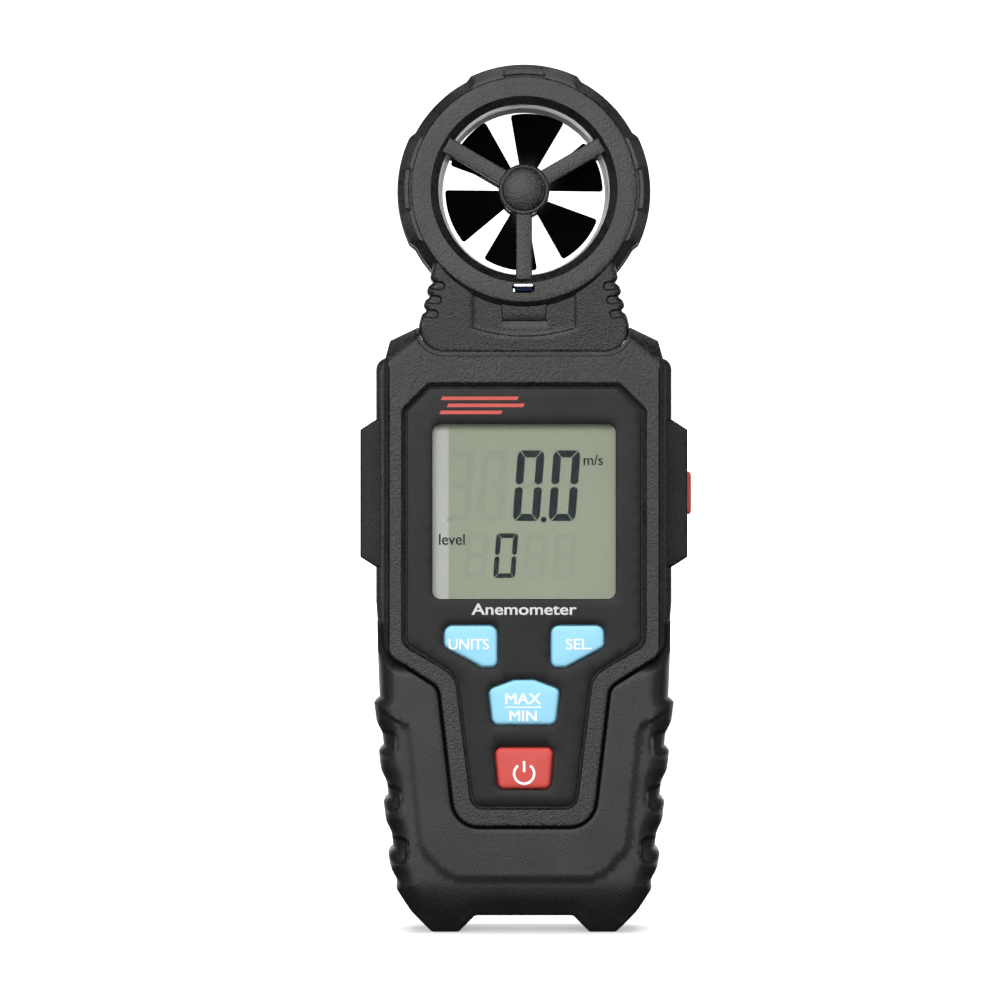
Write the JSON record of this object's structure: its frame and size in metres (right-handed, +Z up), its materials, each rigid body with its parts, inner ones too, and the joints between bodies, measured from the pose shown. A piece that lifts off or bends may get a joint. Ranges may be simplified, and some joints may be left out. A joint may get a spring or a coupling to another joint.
{
  "type": "handheld weather meter",
  "caption": "Palm-held wind and weather meter: ribbed two-shell body with display and keys, and a lobed vane head whose impeller spins in an open duct.",
  "frame": {"origin": "on the floor, midway between the two feet and half way through the body's depth", "axes": "+X to the right of the display, +Y from the display to the back, +Z up through the vane head"},
  "size_m": [0.0667, 0.033, 0.1738],
  "materials": {
    "shell": "fine spark-eroded texture",
    "grip": "soft-touch, satin",
    "head": "fine spark-eroded texture",
    "duct": "polished",
    "panel": "satin film",
    "window": "clear",
    "display": "grey-green liquid crystal",
    "frame_white": "moulded",
    "strip": "silicone",
    "board": "solder mask",
    "chip": "moulded",
    "switch": "plated",
    "key_blue": "silicone, satin",
    "key_red": "silicone, satin",
    "cell": "plain sleeve",
    "contact": "nickel plated",
    "screw": "zinc plated",
    "blade": "moulded",
    "shaft": "ground",
    "magnet": "nickel plated",
    "bush": "turned",
    "sensor": "glass bead",
    "cable": "flat ribbon"
  },
  "bodies": {
    "root": {"front_shell": "shell", "front_grip": "grip", "rear_shell": "shell", "rear_grip": "grip", "side_pad_left": "grip", "side_pad_right": "grip", "front_panel": "panel", "display_window": "window", "display_cell": "display", "display_frame": "frame_white", "backlight": "frame_white", "contact_strip": "strip", "main_board": "board", "board_chips": "chip", "buzzer": "chip", "board_screws": "screw", "key_switches": "switch", "side_board": "board", "side_switch": "switch", "cell_1": "cell", "cell_2": "cell", "cell_3": "cell", "contact_springs": "contact", "contact_plates": "contact", "case_screws": "screw", "head_front": "head", "head_rear": "head", "front_bezel": "head", "hub_cap": "head", "rear_bezel": "head", "duct_liner": "duct", "head_screws": "screw", "front_bearing": "bush", "rear_bearing": "bush", "hall_sensor": "chip", "sensor_board": "board", "air_sensor": "sensor", "head_cable": "cable", "cable_plug": "frame_white"},
    "vane": {"impeller": "blade", "impeller_shaft": "shaft", "pickup_magnet": "magnet"},
    "units_key": {"key_units": "key_blue"},
    "select_key": {"key_select": "key_blue"},
    "maxmin_key": {"key_maxmin": "key_blue"},
    "power_key": {"key_power": "key_red"},
    "light_key": {"side_key": "key_red"},
    "door": {"battery_door": "shell", "door_screw": "screw"}
  },
  "joints": [
    {"name": "impeller_spin", "type": "hinge", "parent": "root", "child": "vane", "pos_m": [0, -0.0035, 0.1483], "axis": [0, 1, 0], "continuous": true},
    {"name": "units_press", "type": "slide", "parent": "root", "child": "units_key", "axis": [0, 1, 0], "range_m": [0, 0.0008], "stiffness_N_per_m": 800},
    {"name": "select_press", "type": "slide", "parent": "root", "child": "select_key", "axis": [0, 1, 0], "range_m": [0, 0.0008], "stiffness_N_per_m": 800},
    {"name": "maxmin_press", "type": "slide", "parent": "root", "child": "maxmin_key", "axis": [0, 1, 0], "range_m": [0, 0.0008], "stiffness_N_per_m": 800},
    {"name": "power_press", "type": "slide", "parent": "root", "child": "power_key", "axis": [0, 1, 0], "range_m": [0, 0.0008], "stiffness_N_per_m": 800},
    {"name": "light_press", "type": "slide", "parent": "root", "child": "light_key", "axis": [-1, 0, 0], "range_m": [0, 0.0008], "stiffness_N_per_m": 800},
    {"name": "door_lift", "type": "slide", "parent": "root", "child": "door", "axis": [0, 1, 0], "range_m": [0, 0.03]}
  ]
}
